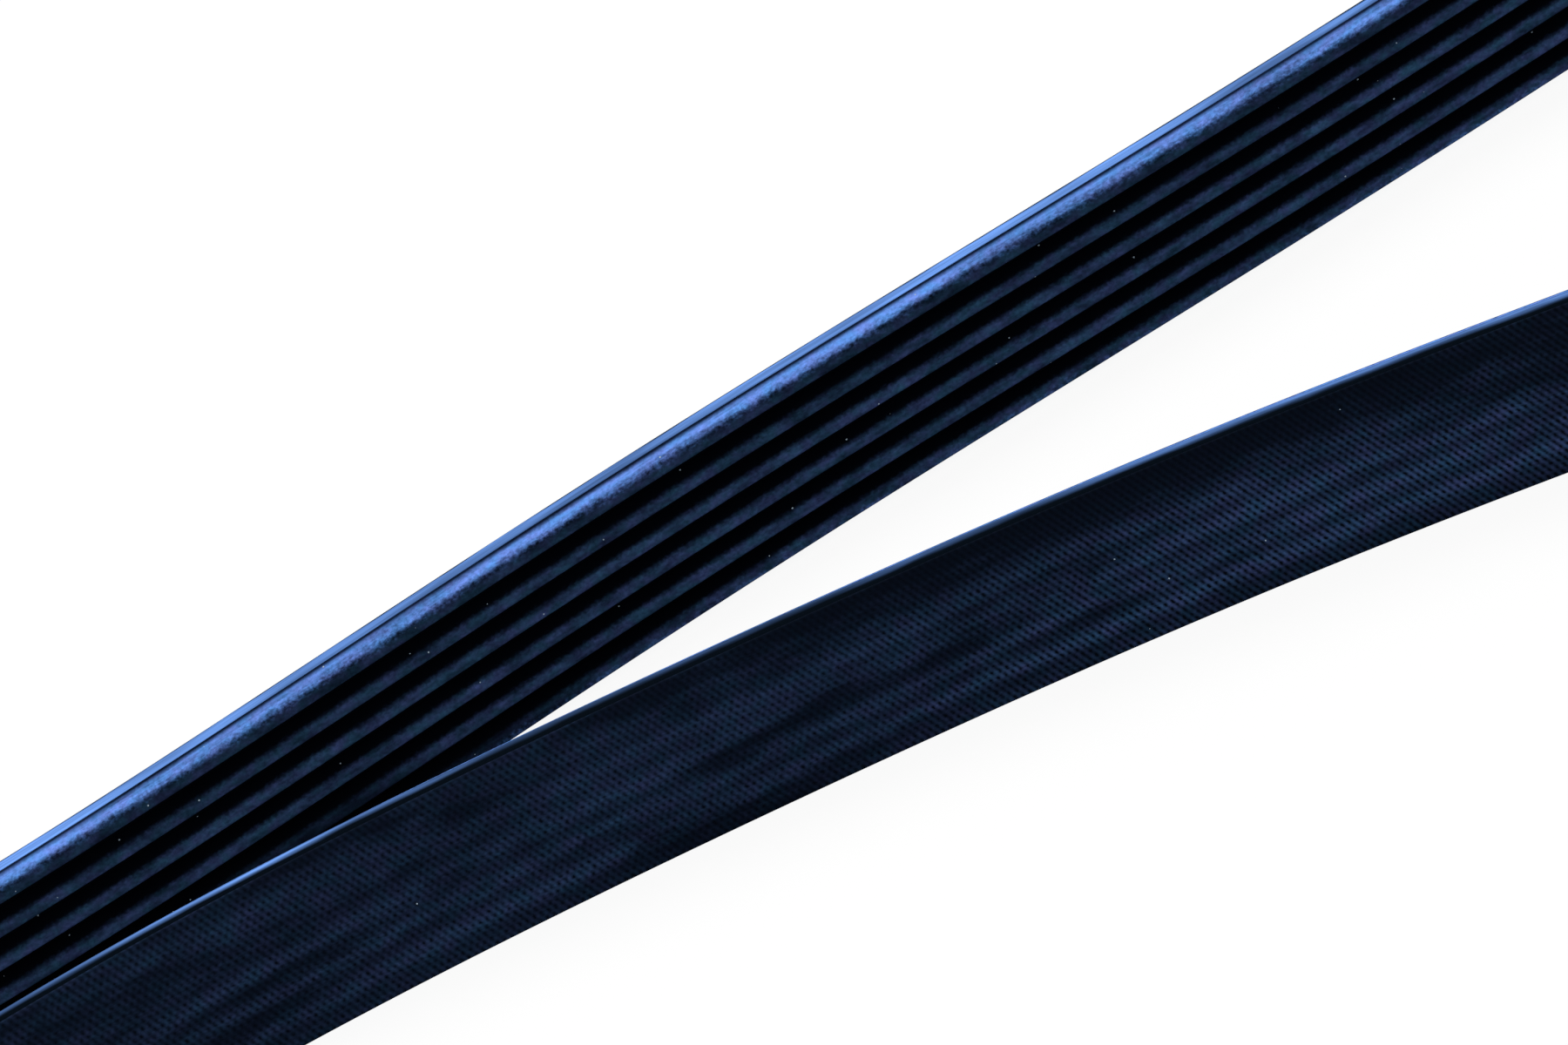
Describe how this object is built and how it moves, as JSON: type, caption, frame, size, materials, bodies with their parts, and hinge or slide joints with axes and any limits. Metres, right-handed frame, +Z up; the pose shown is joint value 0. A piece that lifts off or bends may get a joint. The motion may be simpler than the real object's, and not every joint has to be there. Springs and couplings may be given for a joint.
{
  "type": "serpentine belt",
  "caption": "Endless multi-rib drive belt for engine accessories, ribbed inside and fabric-backed outside, standing on its cut edge in a loose waisted loop.",
  "frame": {"origin": "on the ground under the middle of the standing loop's box", "axes": "+X along the length of the loop towards its larger lobe, +Z up across the belt's width, +Y across the loop"},
  "size_m": [0.5382, 0.116, 0.0214],
  "materials": {
    "belt_rubber": "matt, with a woven fabric back"
  },
  "bodies": {
    "root": {"ribbed_belt": "belt_rubber"}
  },
  "joints": []
}
